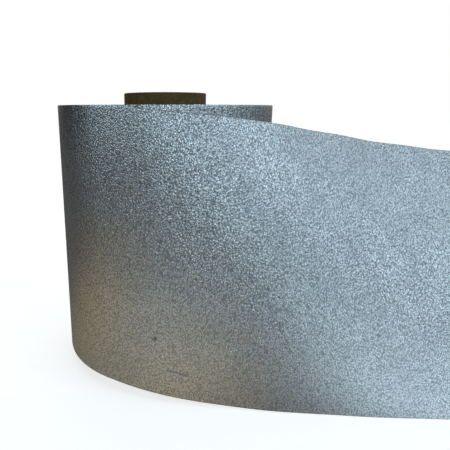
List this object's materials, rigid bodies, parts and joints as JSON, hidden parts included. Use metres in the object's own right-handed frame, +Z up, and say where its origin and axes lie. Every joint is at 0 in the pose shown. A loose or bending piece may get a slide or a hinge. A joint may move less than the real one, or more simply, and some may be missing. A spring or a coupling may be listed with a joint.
{
  "type": "foil tape roll",
  "caption": "Roll of wide embossed foil tape on a paper core, standing on end, with its free web drawn off to one side.",
  "frame": {"origin": "on the core's axis, at the bottom end of the core, on the surface that the roll stands on", "axes": "+Z up along the core's axis; +X to the right, where the tape is drawn off; -Y is the roll's front"},
  "size_m": [0.2001, 0.1163, 0.131],
  "materials": {
    "core_board": "matte",
    "wound_tape": "satin, fine concentric edges",
    "foil": "embossed with a fine pebble grain",
    "adhesive": "gloss",
    "liner": "matte, silicone coated"
  },
  "bodies": {
    "roll": {"core_ply_1": "core_board", "core_ply_2": "core_board", "core_ply_3": "core_board", "core_ply_4": "core_board", "core_ply_5": "core_board", "starter_strip": "adhesive", "wound_pack": "wound_tape"},
    "outer_turn": {"outer_turn_foil": "foil", "outer_turn_adhesive": "adhesive", "outer_turn_liner": "liner"},
    "free_web": {"free_web_foil": "foil", "free_web_adhesive": "adhesive", "free_web_liner": "liner"}
  },
  "joints": [
    {"name": "unwind", "type": "hinge", "parent": "roll", "child": "outer_turn", "pos_m": [0, 0, 0.0655], "axis": [0, 0, 1], "range_deg": [-90, 0]},
    {"name": "draw_off", "type": "slide", "parent": "outer_turn", "child": "free_web", "axis": [0.8616, -0.5075, 0], "range_m": [0, 0.0791]}
  ],
  "couplings": [
    {"joint": "draw_off", "follows": "unwind", "m_per_rad": -0.0503}
  ]
}
